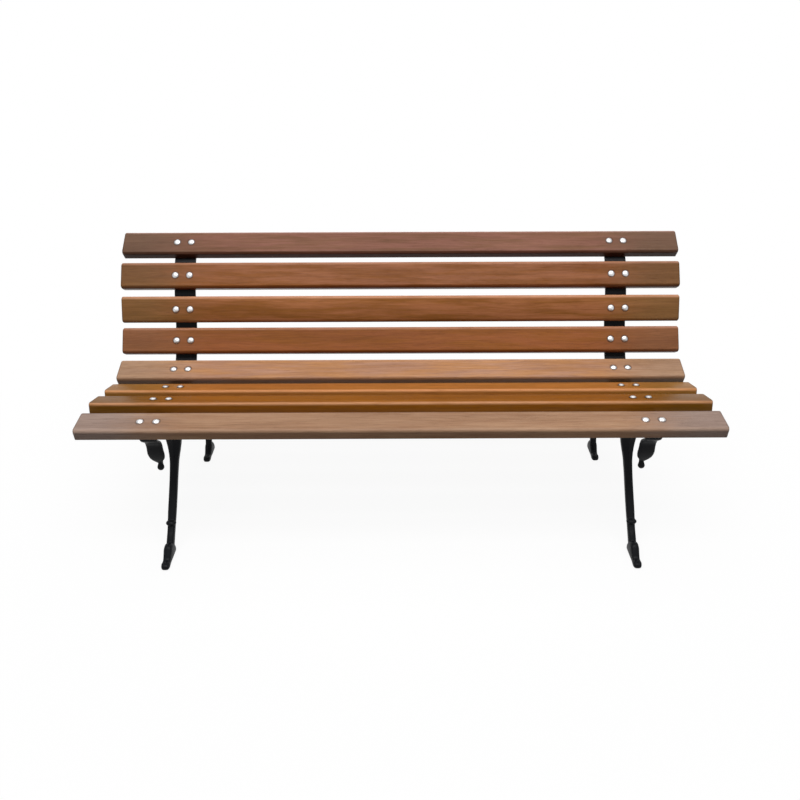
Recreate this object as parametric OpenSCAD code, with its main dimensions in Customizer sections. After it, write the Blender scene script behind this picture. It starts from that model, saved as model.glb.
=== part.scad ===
// Garden bench: eight hardwood slats bolted to two cast-iron leg frames.
// Millimetres, +Z up. X runs along the slats, the sitter faces -Y.
// The origin is on the ground, in the middle of the bench.

/* [Slats] */
// Length of every slat
slat_l = 1500; // [1280:10:1800]
// Width of every slat
slat_w = 70; // [62:1:72]
// Thickness of every slat
slat_t = 24; // [20:1:30]
// Rounding along the two edges on the sitter's side
face_r = 6; // [2:0.5:8]
// Rounding along the two edges on the iron side
rear_r = 2.5; // [1:0.5:4]
// Rounding at the corners of the slat ends
end_r = 4; // [1:0.5:10]

/* [Seat and back line] */
// Distance from the tip of the front toe to the middle of the front slat
front_pad_y = 76; // [70:1:88]
// Height of the iron under the middle of the front slat
front_pad_z = 362; // [355:1:395]
// Distance along the iron between neighbouring seat slats
seat_pitch = 104; // [101:1:112]
// Distance along the iron between neighbouring back slats
back_pitch = 87.5; // [85:0.5:96]
// Tilt of the front slat, rear edge up
front_tilt = 9; // [6:1:14]
// Tilt of the two middle seat slats, rear edge down
seat_fall = 12; // [6:1:17]
// Tilt of the rear seat slat, rear edge up
rear_tilt = 22; // [14:1:28]
// Tilt of the lowest back slat from level
back_tilt_1 = 59; // [54:1:66]
// Tilt of the second back slat
back_tilt_2 = 69; // [64:1:76]
// Tilt of the third back slat
back_tilt_3 = 58; // [54:1:66]
// Tilt of the top back slat
back_tilt_4 = 38; // [35:1:56]

/* [Leg frames] */
// Distance from the slat ends to the middle of each frame
frame_inset = 165; // [150:5:250]
// Width of the flange that the slats lie on
flange_w = 57; // [55:1:64]
// Thickness of that flange
flange_t = 8; // [6:0.5:11]
// Thickness of the upright web behind the flange
web_t = 9; // [7:0.5:11]
// Depth of the web under the seat
web_d = 28; // [20:1:34]
// Depth of the web at the top of the back
web_top_d = 10; // [6:1:18]
// How far the flange reaches past the middle of the top slat
top_reach = 24; // [16:1:28]
// How far the flange reaches in front of the middle of the front slat
front_reach = 15; // [12:1:18]
// Radius of the fillets where legs and rails meet
cast_fillet = 18; // [10:1:22]
// Width of the legs and feet
leg_w = 21; // [18:0.5:24]
// Width of the leaf that the front legs open into
knee_w = 40; // [32:1:46]
// Distance between the front and rear toes
toe_gap = 474; // [466:1:484]
// Distance from the front toe back to the knee of the front leg
knee_y = 223; // [214:1:232]
// Height of that knee
knee_z = 240; // [228:1:252]
// Length of the feet behind the toe
foot_l = 78; // [70:1:86]
// Height of the feet at the ankle
foot_h = 40; // [36:1:44]
// Width of the curled leaf at the front end
leaf_w = 40; // [32:1:46]
// Thickness of the curled leaf
leaf_t = 7.6; // [5.6:0.2:7.8]
// Height of the ribs on the leaves
leaf_rib = 1.3; // [0.4:0.1:1.8]
// Diameter of the ball under the leaf
ball_d = 17; // [14:0.5:20]
// Diameter of the knuckle on the shins
knuckle_d = 14; // [11:0.5:16]

/* [Fasteners] */
// Distance between the two bolts of a pair
bolt_gap = 38; // [36:0.5:38]
// Diameter of the bolt shank
bolt_d = 8; // [6:0.5:8]
// Diameter of the domed bolt head
head_d = 18; // [15:0.5:20]
// Height of the domed bolt head
head_h = 4.4; // [3:0.2:5.4]
// Width of the square neck under the head
neck_w = 8.4; // [8.2:0.1:8.8]
// Depth of the square neck
neck_h = 5; // [3:0.5:6]
// Washer diameter
washer_d = 16; // [15:0.5:16]
// Washer thickness
washer_t = 1.6; // [1:0.2:2.4]
// Nut width across its flats
nut_w = 13; // [12:0.5:14]
// Nut height
nut_h = 6.5; // [5:0.5:8]
// Length of bolt standing past the nut
bolt_past = 2.5; // [1:0.5:5]
// Gap all round a bolt in its hole
bolt_clear = 0.5; // [0.3:0.1:0.6]
// Gap all round a bolt in its washer and nut
thread_clear = 0.2; // [0.15:0.05:0.3]

/* [Hidden] */
$fn = 48;
frame_x = slat_l / 2 - frame_inset;
wood_top = [0.53, 0.38, 0.31];
wood_back = [0.55, 0.34, 0.20];
wood_seat = [0.56, 0.36, 0.18];
wood_light = [0.66, 0.50, 0.40];
iron = [0.10, 0.11, 0.13];
zinc = [0.80, 0.81, 0.82];

sides = ["left", "right"];
seat_names = ["seat_slat_4", "seat_slat_3", "seat_slat_2", "seat_slat_1"];
back_names = ["back_slat_4", "back_slat_3", "back_slat_2", "back_slat_1"];
slat_names = concat(seat_names, back_names);
slat_colors = [wood_light, wood_seat, wood_seat, wood_light, wood_back, wood_back, wood_back, wood_top];

// Pads are the flats that the slats lie on, from the front slat to the top one.
tilts = [front_tilt, -seat_fall, -seat_fall, rear_tilt, back_tilt_1, back_tilt_2, back_tilt_3, back_tilt_4];
top_pad = len(tilts) - 1;
first_back_pad = len(seat_names);
pad_land = 1.5;
bend_steps = 6;

// Side view: points are [y, z] with the tip of the front toe at y = 0.
function heading(a) = [cos(a), sin(a)];
function sitter_side(a) = [-sin(a), cos(a)];
function pitch_after(k) = k < first_back_pad ? seat_pitch : back_pitch;
function pad(k) = k == 0
    ? [front_pad_y, front_pad_z]
    : pad(k - 1) + (heading(tilts[k - 1]) + heading(tilts[k])) * pitch_after(k - 1) / 2;

// The bend between two pads: an arc that starts and ends just clear of the slats.
function bend(k) =
    let (a = tilts[k], b = tilts[k + 1])
    let (reach = pitch_after(k) / 2 - slat_w / 2 - pad_land)
    let (corner = pad(k) + heading(a) * pitch_after(k) / 2)
    let (start = corner - heading(a) * reach)
    abs(b - a) < 1
        ? [[start, a], [corner + heading(b) * reach, b]]
        : let (r = reach / tan((b - a) / 2))
          [for (i = [0:bend_steps])
              let (h = a + (b - a) * i / bend_steps)
              [start + r * [sin(h) - sin(a), cos(a) - cos(h)], h]];

// The whole face line of the flange, from its front end to its top end.
face_line = concat(
    [[pad(0) - heading(tilts[0]) * front_reach, tilts[0]]],
    [for (k = [0:top_pad - 1]) each bend(k)],
    [[pad(top_pad) + heading(tilts[top_pad]) * top_reach, tilts[top_pad]]]
);
last = len(face_line) - 1;
back_height = face_line[last][0][1] - pad(first_back_pad)[1];
function behind(i, depth) = face_line[i][0] - sitter_side(face_line[i][1]) * depth;
function behind_all(depth) = [for (i = [0:last]) behind(i, depth)];
// The web is shallow behind the leaf, and thins from the lowest back slat to the top of the back.
web_nose_d = 12;
function up_the_back(i) = max(0, face_line[i][0][1] - pad(first_back_pad)[1]) / back_height;
function web_depth(i) = i == 0 ? web_nose_d : web_d + (web_top_d - web_d) * up_the_back(i);
web_foot_line = [for (i = [0:last]) behind(i, flange_t + web_depth(i))];

// The bench is centred between the tips of the front toes and the top of the back.
toe_tip = 4;
mid_y = (web_foot_line[last][0] - toe_tip) / 2;

// A smooth curve through rows of numbers, one row at a time.
function blend(a, b, c, d, t) = 0.5 * (2 * b + (c - a) * t
    + (2 * a - 5 * b + 4 * c - d) * t * t + (3 * b - a - 3 * c + d) * t * t * t);
function row(rows, i) = rows[max(0, min(len(rows) - 1, i))];
function smooth(rows, steps) = [for (i = [0:(len(rows) - 1) * steps])
    let (k = min(floor(i / steps), len(rows) - 2))
    blend(row(rows, k - 1), row(rows, k), row(rows, k + 1), row(rows, k + 2), i / steps - k)];

// Cast bars: each row is [y, z, half depth, half width in front, half width behind, rib height].
squareness = 0.6;
function soft(t) = sign(t) * pow(abs(t), squareness);
function ring(r, way, n) = [for (i = [0:n - 1])
    let (a = 360 * i / n)
    let (front = min(1, (1 + sin(a)) / 1.3))
    let (out = r[2] * soft(sin(a)) + r[5] * pow(max(0, sin(a)), 2) * cos(360 * cos(a)))
    let (p = [r[0], r[1]] + [-way[1], way[0]] * out)
    [(r[4] + (r[3] - r[4]) * front) * soft(cos(a)), p[0], p[1]]];
function along(path, i) =
    let (a = path[max(0, i - 1)], b = path[min(len(path) - 1, i + 1)])
    let (d = [b[0] - a[0], b[1] - a[1]])
    d / norm(d);

module cast_bar(rows, steps, n, upright = false) {
    path = smooth(rows, steps);
    rings = len(path);
    sides = [for (j = [0:rings - 2], i = [0:n - 1])
        each [[j * n + i, (j + 1) * n + (i + 1) % n, (j + 1) * n + i],
              [j * n + i, j * n + (i + 1) % n, (j + 1) * n + (i + 1) % n]]];
    first_cap = [for (i = [1:n - 2]) [0, i + 1, i]];
    base = (rings - 1) * n;
    last_cap = [for (i = [1:n - 2]) [base, base + i, base + i + 1]];
    polyhedron(
        points = [for (j = [0:rings - 1]) each ring(path[j], upright ? [1, 0] : along(path, j), n)],
        faces = concat(first_cap, sides, last_cap)
    );
}

// Front leg, from inside the foot past the knee to the seat rail.
hw = leg_w / 2;
knee = knee_w / 2;
leg_top = 13;
ankle = [foot_l - 6, foot_h - 7];
front_joint = pad(1) + heading(tilts[1]) * 32;
front_leg_rows = [
    [ankle[0] - 6, ankle[1] - 6, 10.5, hw - 1, hw - 1, 0],
    [ankle[0] + 7, ankle[1] + 8, 10.5, hw - 1.2, hw - 1.2, 0],
    [ankle[0] + 20, ankle[1] + 22, 9, hw - 1, hw - 1, 0],
    [knee_y - 105, knee_z - 154, 9, hw, hw, 0],
    [knee_y - 73, knee_z - 116, 9.6, hw, hw, 0],
    [knee_y - 43, knee_z - 78, 10, hw, hw, 0],
    [knee_y - 20, knee_z - 46, 10.5, hw * 1.13, hw * 1.13, leaf_rib / 2],
    [knee_y - 4, knee_z - 19, 11.5, knee * 0.83, knee * 0.8, leaf_rib],
    [knee_y + 1, knee_z + 6, 12, knee, knee, leaf_rib],
    [knee_y - 3, knee_z + 52, 12, knee, knee * 0.8, leaf_rib / 2],
    [front_joint[0] - 1, front_joint[1] - 3 * flange_t, leg_top, knee, hw, 0],
    [front_joint[0], front_joint[1] + flange_t, leg_top, knee, hw, 0]
];

// Rear leg, from inside the foot up to the corner of seat and back.
rear_joint = pad(3) + heading(tilts[3]) * 46;
rear_leg_rows = [
    [toe_gap + ankle[0] - 26, ankle[1] - 11, 9.5, hw - 1, hw - 1, 0],
    [toe_gap + ankle[0] - 22, ankle[1] + 5, 8.5, hw - 1.2, hw - 1.2, 0],
    [toe_gap + ankle[0] - 16, ankle[1] + 23, 7.8, hw - 1, hw - 1, 0],
    [toe_gap + 61, 92, 9, hw, hw, 0],
    [toe_gap + 54, 140, 9.6, hw, hw, 0],
    [toe_gap + 34, 192, 10, hw, hw, 0],
    [toe_gap + 6, 244, 10.5, hw * 1.13, hw, 0],
    [rear_joint[0] + 22, rear_joint[1] - 60, 11.5, (knee + hw) / 2, hw, 0],
    [rear_joint[0] - 6, rear_joint[1] + flange_t, leg_top, knee, hw, 0]
];

// Foot, from the toe over the ankle to the heel. Each row stands on the ground.
sole_trim = 0.8;
function foot_row(y, top, half_w, bottom = -sole_trim) =
    [y, (top + bottom) / 2, (top - bottom) / 2, half_w, half_w, 0];
foot_rows = [
    foot_row(-toe_tip, 9.5, 3.2, 5),
    foot_row(-1.5, 13.8, hw - 2.2, 1.4),
    foot_row(7, 16.5, hw),
    foot_row(19, 17, hw - 0.8),
    foot_row(foot_l * 0.38, foot_h * 0.7, hw - 0.5),
    foot_row(foot_l * 0.53, foot_h * 0.98, hw + 0.5),
    foot_row(foot_l * 0.7, foot_h, hw + 0.5),
    foot_row(foot_l * 0.85, foot_h * 0.78, hw),
    foot_row(foot_l * 0.96, foot_h * 0.48, hw - 1.5),
    foot_row(foot_l, 13, hw - 4.5, 4)
];

// The leaf that curls down from the front end of the flange, placed from the front pad.
function under_front(reach, depth) = -heading(tilts[0]) * reach - sitter_side(tilts[0]) * depth;
lw = leaf_w / 2;
lt = leaf_t / 2;
leaf_line = [
    [under_front(front_reach - 8, lt), flange_w / 2 - 0.3, 0],
    [under_front(front_reach + 2, lt + 0.5), flange_w / 2 - 3, 0],
    [under_front(front_reach + 7.5, lt + 2.2), lw + 2, 0],
    [[-21, -16], lw + 0.5, leaf_rib / 2],
    [[-13, -23], lw, leaf_rib],
    [[0, -33.5], lw, leaf_rib],
    [[6, -45.5], lw, leaf_rib],
    [[7, -58.5], lw, leaf_rib],
    [[8.5, -72.5], lw * 1.04, leaf_rib],
    [[12.5, -87.5], lw * 0.9, leaf_rib],
    [[17, -97.5], lw * 0.55, leaf_rib / 2],
    [[20, -103.5], lw * 0.2, 0]
];
leaf_rows = [for (r = leaf_line) [pad(0)[0] + r[0][0], pad(0)[1] + r[0][1], lt, r[1], r[1] - 1, r[2]]];

// Back edge of the plate inside the curl, from the ball up into the rail.
curl_back = [
    [27, -119.5], [33, -115.5], [38, -106.5], [39.5, -92.5], [36, -76.5], [29, -61.5],
    [21.5, -47.5], [20.5, -39], [27, -32], [43, -28], [62, -16]
];
ball_drop = 120.5;
ball_back = 23.5;
ball_at = pad(0) + [ball_back, -ball_drop];
ball_neck_l = 18;
ball_neck_lean = 20;

// The knuckle low on the front of the shin.
knuckle_back = 126;
knuckle_drop = 169;
knuckle_at = [knee_y - knuckle_back, knee_z - knuckle_drop];
knuckle_shape = [1.9, 1.4, 1];

bolt_x = bolt_gap / 2;
hole_d = bolt_d + 2 * bolt_clear;
sitter_band = 40;
core_inset = 3;
ground_t = 30;
under_flange = flange_t + washer_t;

// Puts a side-view drawing at its place, as a plate of thickness t across X.
module plate(t) {
    rotate([90, 0, 90]) linear_extrude(t, center = true) children();
}

// Stands its children on pad k: X along the slat, Y up the slat, Z out to the sitter.
module on_pad(k) {
    translate([0, pad(k)[0] - mid_y, pad(k)[1]]) rotate([tilts[k], 0, 0]) children();
}

module rounded_face(r1, r2, w, t) {
    union() {
        translate([-w / 2 + r1, 0]) square([w - 2 * r1, t]);
        translate([-w / 2, r2]) square([w, t - r1 - r2]);
        translate([-w / 2 + r2, 0]) square([w - 2 * r2, t / 2]);
        for (s = [-1, 1]) {
            translate([s * (w / 2 - r1), t - r1]) circle(r1);
            translate([s * (w / 2 - r2), r2]) circle(r2);
        }
    }
}

module slat_outline() {
    union() {
        square([slat_l - 2 * end_r, slat_w], center = true);
        square([slat_l, slat_w - 2 * end_r], center = true);
        for (sx = [-1, 1], sy = [-1, 1])
            translate([sx * (slat_l / 2 - end_r), sy * (slat_w / 2 - end_r)]) circle(end_r);
    }
}

module bolt_places() {
    for (f = [-1, 1], s = [-1, 1])
        translate([f * frame_x + s * bolt_x, 0, 0]) children();
}

module slat(k) {
    color(slat_colors[k]) on_pad(k) difference() {
        intersection() {
            rotate([90, 0, 90]) linear_extrude(slat_l, center = true) rounded_face(face_r, rear_r, slat_w, slat_t);
            translate([0, 0, -1]) linear_extrude(slat_t + 2) slat_outline();
        }
        bolt_places() translate([0, 0, -1]) cylinder(h = slat_t + 2, d = hole_d);
        bolt_places() translate([0, 0, slat_t - neck_h - bolt_clear])
            linear_extrude(neck_h + 2) square(neck_w + 2 * bolt_clear, center = true);
    }
}

module carriage_bolt() {
    shank = slat_t - neck_h + under_flange + nut_h + bolt_past;
    dome_r = (head_d * head_d / 4 + head_h * head_h) / (2 * head_h);
    translate([0, 0, slat_t]) intersection() {
        translate([0, 0, head_h - dome_r]) sphere(dome_r, $fn = 96);
        cylinder(h = head_h + 1, d = head_d);
    }
    translate([0, 0, slat_t - neck_h]) linear_extrude(neck_h + 0.5) square(neck_w, center = true);
    translate([0, 0, slat_t - neck_h - shank]) cylinder(h = shank + 0.5, d = bolt_d);
}

module bolts(k) {
    color(zinc) on_pad(k) bolt_places() carriage_bolt();
}

module washers(k) {
    color(zinc) on_pad(k) bolt_places() translate([0, 0, -under_flange]) difference() {
        cylinder(h = washer_t, d = washer_d);
        translate([0, 0, -1]) cylinder(h = washer_t + 2, d = bolt_d + 2 * thread_clear);
    }
}

module nuts(k) {
    color(zinc) on_pad(k) bolt_places() translate([0, 0, -under_flange - nut_h]) difference() {
        cylinder(h = nut_h, d = nut_w / cos(30), $fn = 6);
        translate([0, 0, -1]) cylinder(h = nut_h + 2, d = bolt_d + 2 * thread_clear);
    }
}

// The space on the sitter's side of the flange, from halfway into it.
module sitter_space() {
    polygon(concat(behind_all(flange_t / 2), reversed(behind_all(-sitter_band))));
}

// The thin plate that stiffens the frame: it follows the rails and runs into the legs.
module web_outline() {
    difference() {
        offset(r = -cast_fillet, $fn = 32) offset(delta = cast_fillet) {
            polygon(concat(behind_all(flange_t / 2), reversed(web_foot_line)));
            leg_core(front_leg_rows);
            leg_core(rear_leg_rows);
        }
        sitter_space();
    }
}

// The plate inside the front curl, between the leaf and its ball.
module curl_outline() {
    polygon(concat(
        [pad(0) - [10, flange_t / 2]],
        [for (r = leaf_rows) if (r[1] < pad(0)[1] - 10) [r[0], r[1]]],
        [for (p = smooth(curl_back, 3)) pad(0) + p]
    ));
}

// A strip along the middle of a leg, narrower than the leg itself.
function leg_side(path, side) = [for (i = [0:len(path) - 1])
    let (d = along(path, i))
    [path[i][0], path[i][1]] + [-d[1], d[0]] * side * (path[i][2] - core_inset)];
function reversed(list) = [for (i = [len(list) - 1:-1:0]) list[i]];

module leg_core(rows) {
    path = smooth(rows, 2);
    polygon(concat(leg_side(path, 1), reversed(leg_side(path, -1))));
}

module foot(y) {
    translate([0, y, 0]) cast_bar(foot_rows, 3, 16, true);
}

// The legs and the leaf stop halfway into the flange.
module cast_limbs() {
    difference() {
        union() {
            cast_bar(front_leg_rows, 3, 16);
            cast_bar(rear_leg_rows, 3, 16);
            cast_bar(leaf_rows, 2, 24);
        }
        plate(3 * flange_w) sitter_space();
    }
}

// A ball on a tapering neck that runs up into the leaf.
module ball_end() {
    translate([0, ball_at[0], ball_at[1]]) {
        sphere(d = ball_d);
        rotate([-ball_neck_lean, 0, 0]) cylinder(h = ball_neck_l, d1 = ball_d * 0.94, d2 = web_t);
    }
}

module leg_frame(side) {
    color(iron) translate([side * frame_x, 0, 0]) difference() {
        translate([0, -mid_y, 0]) union() {
            plate(flange_w) polygon(concat(behind_all(0), reversed(behind_all(flange_t))));
            plate(web_t) {
                web_outline();
                curl_outline();
            }
            cast_limbs();
            foot(0);
            foot(toe_gap);
            ball_end();
            translate([0, knuckle_at[0], knuckle_at[1]]) scale(knuckle_shape) sphere(d = knuckle_d);
        }
        translate([-flange_w, -2 * mid_y, -ground_t]) cube([2 * flange_w, 4 * mid_y, ground_t]);
        for (k = [0:top_pad], s = [-1, 1])
            on_pad(k) translate([s * bolt_x, 0, -flange_t - 2]) cylinder(h = flange_t + 4, d = hole_d);
    }
}

for (k = [0:top_pad]) {
    slat(k);
    bolts(k);
    washers(k);
    nuts(k);
}
leg_frame(-1);  // left_leg_frame
leg_frame(1);  // right_leg_frame
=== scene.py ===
"""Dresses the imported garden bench: oiled hardwood slats, cast-iron leg frames, zinc bolts."""

import logging
import math
from collections.abc import Callable
from dataclasses import dataclass
from enum import Enum

import bmesh
import bpy
import numpy as np
from bpy.types import (
    Camera, Light, Material, Mesh, Node, NodeSocket, NodeTree, Object, World, bpy_prop_collection)
from mathutils import Matrix, Vector


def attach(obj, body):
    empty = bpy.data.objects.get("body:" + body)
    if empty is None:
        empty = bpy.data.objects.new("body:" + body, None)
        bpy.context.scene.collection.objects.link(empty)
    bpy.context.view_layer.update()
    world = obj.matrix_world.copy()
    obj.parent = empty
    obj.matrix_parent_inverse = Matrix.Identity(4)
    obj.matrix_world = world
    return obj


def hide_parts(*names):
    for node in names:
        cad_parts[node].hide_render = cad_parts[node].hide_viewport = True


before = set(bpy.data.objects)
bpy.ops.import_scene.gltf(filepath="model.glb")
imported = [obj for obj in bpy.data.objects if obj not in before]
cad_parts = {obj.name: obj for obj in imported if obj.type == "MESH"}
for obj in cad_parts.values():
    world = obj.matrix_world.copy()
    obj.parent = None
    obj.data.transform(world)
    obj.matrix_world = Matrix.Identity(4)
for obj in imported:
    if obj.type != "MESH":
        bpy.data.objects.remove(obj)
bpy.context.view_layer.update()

logger = logging.getLogger("garden_bench")
BODY = "root"
MM = 0.001
SAME_POINT = 1e-6
WHITE = (1.0, 1.0, 1.0)
Colour = tuple[float, float, float]
ScreenColour = tuple[int, int, int]


def screen_colour(colour: ScreenColour) -> Colour:
    """Turns a screen colour into the linear one that the shaders work in.

    Args:
        colour: Red, green and blue, 0 to 255.

    Returns:
        The linear colour.
    """
    shares = (c / 255 for c in colour)
    return tuple(s / 12.92 if s <= 0.04045 else ((s + 0.055) / 1.055) ** 2.4 for s in shares)


class Slot(Enum):
    """The record's material slots, which say what each piece is made of. The grey and pale wood slots are
    the same wood as the brown and golden ones; their paler, greyer tone is partly painted sheen from the
    overhead light.
    """

    WOOD_GREY = "wood_grey"
    WOOD_BROWN = "wood_brown"
    WOOD_GOLDEN = "wood_golden"
    WOOD_PALE = "wood_pale"
    CAST_IRON = "cast_iron_black"
    ZINC = "zinc_steel"


class Fastener(Enum):
    """The three kinds of small steel parts, by the ending of their node names."""

    BOLT = "bolts"
    WASHER = "washers"
    NUT = "nuts"


class HighlightEdge(Enum):
    """The long edge of a slat that carries a painted highlight, by its side of the slat's middle."""

    UPPER_OR_REAR = 1.0
    FRONT = -1.0


class EndTone(Enum):
    """How a slat's ends are toned, darker or greyer than its middle, as shares of red, green and blue."""

    DARKENED = (0.58, 0.75, 0.64)
    GREYED = (0.84, 1.08, 1.60)


class Attribute:
    """Names of the attributes that the meshes carry for their materials."""

    BOARD = "board_place"
    FIGURE = "figure_place"
    WORN = "worn_edge"
    TINT = "piece_tint"
    RIM = "soiled_rim"


# ---------------------------------------------------------------- nodes


@dataclass(frozen=True)
class Pattern:
    """A noise that can be stretched along the slats.

    Attributes:
        along: Spots per metre along X.
        across: Spots per metre along Y and Z.
        detail: Number of finer layers.
        roughness: Strength of the finer layers.
    """

    along: float
    across: float
    detail: float = 2.0
    roughness: float = 0.5


class Graph:
    """Places nodes in a tree and joins them, for shaders and for geometry."""

    def __init__(self, tree: NodeTree) -> None:
        """Keeps the tree that the nodes go into."""
        self.tree = tree

    def node(self, kind: str, inputs: dict | None = None, **settings: object) -> Node:
        """Adds one node.

        Args:
            kind: The node's type name.
            inputs: Values or sockets for its inputs, by name or by number.
            settings: Other properties of the node.

        Returns:
            The new node.
        """
        made = self.tree.nodes.new(kind)
        for name, value in settings.items():
            setattr(made, name, value)
        self.fill(made, inputs or {})
        return made

    def fill(self, node: Node, inputs: dict) -> None:
        """Links a node's inputs to sockets, or sets their plain values.

        Args:
            node: The node.
            inputs: Values or sockets, by the input's name or number.
        """
        for key, value in inputs.items():
            if isinstance(key, int):
                socket = node.inputs[key]
            else:
                socket = next(s for s in node.inputs if s.name == key and s.enabled)
            if isinstance(value, NodeSocket):
                self.tree.links.new(value, socket)
            elif socket.type == "RGBA":
                socket.default_value = (*value, 1.0)
            else:
                socket.default_value = value

    def math(self, operation: str, first: object, second: object = 0.0) -> NodeSocket:
        """Adds a Math node and returns its result."""
        return self.node("ShaderNodeMath", {0: first, 1: second}, operation=operation).outputs[0]

    def times(self, first: object, second: object) -> NodeSocket:
        """Returns the product of two values."""
        return self.math("MULTIPLY", first, second)

    def plus(self, first: object, second: object) -> NodeSocket:
        """Returns the sum of two values."""
        return self.math("ADD", first, second)

    def minus(self, first: object, second: object) -> NodeSocket:
        """Returns the difference of two values."""
        return self.math("SUBTRACT", first, second)

    def vector(self, operation: str, first: object, second: object = (0, 0, 0)) -> NodeSocket:
        """Adds a Vector Math node.

        Args:
            operation: The operation's name.
            first: First vector or socket.
            second: Second vector or socket.

        Returns:
            The result's socket, a number for LENGTH and a vector otherwise.
        """
        made = self.node("ShaderNodeVectorMath", {0: first, 1: second}, operation=operation)
        return made.outputs[1 if operation == "LENGTH" else 0]

    def scaled(self, vector: NodeSocket, factor: object) -> NodeSocket:
        """Returns a vector times a number."""
        return self.node("ShaderNodeVectorMath", {0: vector, 3: factor}, operation="SCALE").outputs[0]

    def split(self, vector: NodeSocket) -> list[NodeSocket]:
        """Returns the three parts of a vector."""
        return list(self.node("ShaderNodeSeparateXYZ", {0: vector}).outputs)

    def join(self, parts: dict[int, object]) -> NodeSocket:
        """Returns a vector made of parts, by the number of their axis."""
        return self.node("ShaderNodeCombineXYZ", parts).outputs[0]

    def ramp(self, value: object, low: float, high: float, start: float = 0.0,
             end: float = 1.0) -> NodeSocket:
        """Maps a value smoothly from one range to another, held at both ends.

        Args:
            value: The value's socket.
            low: Value that gives start.
            high: Value that gives end.
            start: Result at the low end.
            end: Result at the high end.

        Returns:
            The result's socket.
        """
        return self.node("ShaderNodeMapRange", {
            "Value": value, "From Min": low, "From Max": high, "To Min": start, "To Max": end,
        }, interpolation_type="SMOOTHSTEP").outputs[0]

    def blend(self, share: object, first: object, second: object, how: str = "MIX") -> NodeSocket:
        """Mixes two colours.

        Args:
            share: How much of the second colour shows.
            first: First colour or socket.
            second: Second colour or socket.
            how: The blend type.

        Returns:
            The mixed colour's socket.
        """
        return self.node("ShaderNodeMix", {0: share, 6: first, 7: second},
                         data_type="RGBA", blend_type=how).outputs[2]

    def noise(self, place: object, pattern: Pattern) -> NodeSocket:
        """Adds a noise.

        Args:
            place: The coordinates' socket.
            pattern: Its spots and layers.

        Returns:
            The noise's socket, about 0.5 on average.
        """
        stretch = (pattern.along, pattern.across, pattern.across)
        return self.node("ShaderNodeTexNoise", {
            "Vector": self.vector("MULTIPLY", place, stretch), "Scale": 1.0,
            "Detail": pattern.detail, "Roughness": pattern.roughness}).outputs[0]


class GroupGraph(Graph):
    """A node group's graph, with named sockets."""

    def __init__(self, name: str, kind: str, inputs: dict[str, str], outputs: dict[str, str]) -> None:
        """Starts the group.

        Args:
            name: The group's name.
            kind: ShaderNodeTree or GeometryNodeTree.
            inputs: Input names and the ends of their socket type names.
            outputs: Output names and the ends of their socket type names.
        """
        super().__init__(bpy.data.node_groups.new(name, kind))
        self.identifiers = {label: self.add_socket(label, "INPUT", ending)
                            for label, ending in inputs.items()}
        for label, ending in outputs.items():
            self.add_socket(label, "OUTPUT", ending)
        self.given = self.node("NodeGroupInput")
        self.result = self.node("NodeGroupOutput")

    def add_socket(self, label: str, side: str, ending: str) -> str:
        """Adds a socket to the group.

        Args:
            label: The socket's name.
            side: INPUT or OUTPUT.
            ending: The end of its socket type name.

        Returns:
            Its identifier.
        """
        made = self.tree.interface.new_socket(label, in_out=side, socket_type="NodeSocket" + ending)
        return made.identifier

    def take(self, label: str) -> NodeSocket:
        """Returns what the group is given under a name."""
        return self.given.outputs[label]

    def deliver(self, outputs: dict[str, NodeSocket]) -> NodeTree:
        """Feeds the group's outputs by name and returns the finished group."""
        self.fill(self.result, outputs)
        return self.tree


class LayingGraph(GroupGraph):
    """A geometry group that makes pieces lying flat and lays them on the iron."""

    def __init__(self, name: str, more: dict[str, str]) -> None:
        """Starts the group.

        Args:
            name: The group's name.
            more: Inputs past the shape, its tilt, its place and its material, as for GroupGraph.
        """
        shared = {"Geometry": "Geometry", "Tilt": "Float", "Place": "Vector", "Material": "Material"}
        super().__init__(name, "GeometryNodeTree", shared | more, {"Geometry": "Geometry"})

    def store(self, shape: NodeSocket, name: str, value: NodeSocket, kind: str,
              domain: str = "POINT") -> NodeSocket:
        """Stores a value on a shape as a named attribute.

        Args:
            shape: The shape's socket.
            name: The attribute's name.
            value: The value's socket.
            kind: The attribute's data type.
            domain: What holds it, points or instances.

        Returns:
            The shape with the attribute.
        """
        return self.node("GeometryNodeStoreNamedAttribute", {
            "Geometry": shape, "Name": name, "Value": value}, data_type=kind, domain=domain).outputs[0]

    def lay(self, shape: NodeSocket) -> None:
        """Tilts and moves a shape, makes its instances real, sets its material and delivers it.

        Args:
            shape: The shape's socket.
        """
        turn = self.join({0: self.take("Tilt")})
        laid = self.node("GeometryNodeTransform", {
            "Geometry": shape, "Translation": self.take("Place"), "Rotation": turn}).outputs[0]
        real = self.node("GeometryNodeRealizeInstances", {"Geometry": laid}).outputs[0]
        dressed = self.node("GeometryNodeSetMaterial", {
            "Geometry": real, "Material": self.take("Material")}).outputs[0]
        self.deliver({"Geometry": dressed})

    def run(self, piece: Object, values: dict[str, object]) -> None:
        """Runs the group on a piece and keeps the result as its plain mesh.

        Args:
            piece: The piece.
            values: The group's inputs by name.
        """
        modifier = piece.modifiers.new(self.tree.name, "NODES")
        modifier.node_group = self.tree
        for label, value in values.items():
            modifier[self.identifiers[label]] = value
        settle(piece)


def floats(*labels: str) -> dict[str, str]:
    """Returns number sockets under these names, as GroupGraph takes them."""
    return dict.fromkeys(labels, "Float")


def emptied(owner: Material | World) -> NodeTree:
    """Turns on the nodes of a material or a world and clears them.

    Args:
        owner: The material or world.

    Returns:
        Its empty tree.
    """
    owner.use_nodes = True
    owner.node_tree.nodes.clear()
    return owner.node_tree


# ------------------------------------------------------------- effects


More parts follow.
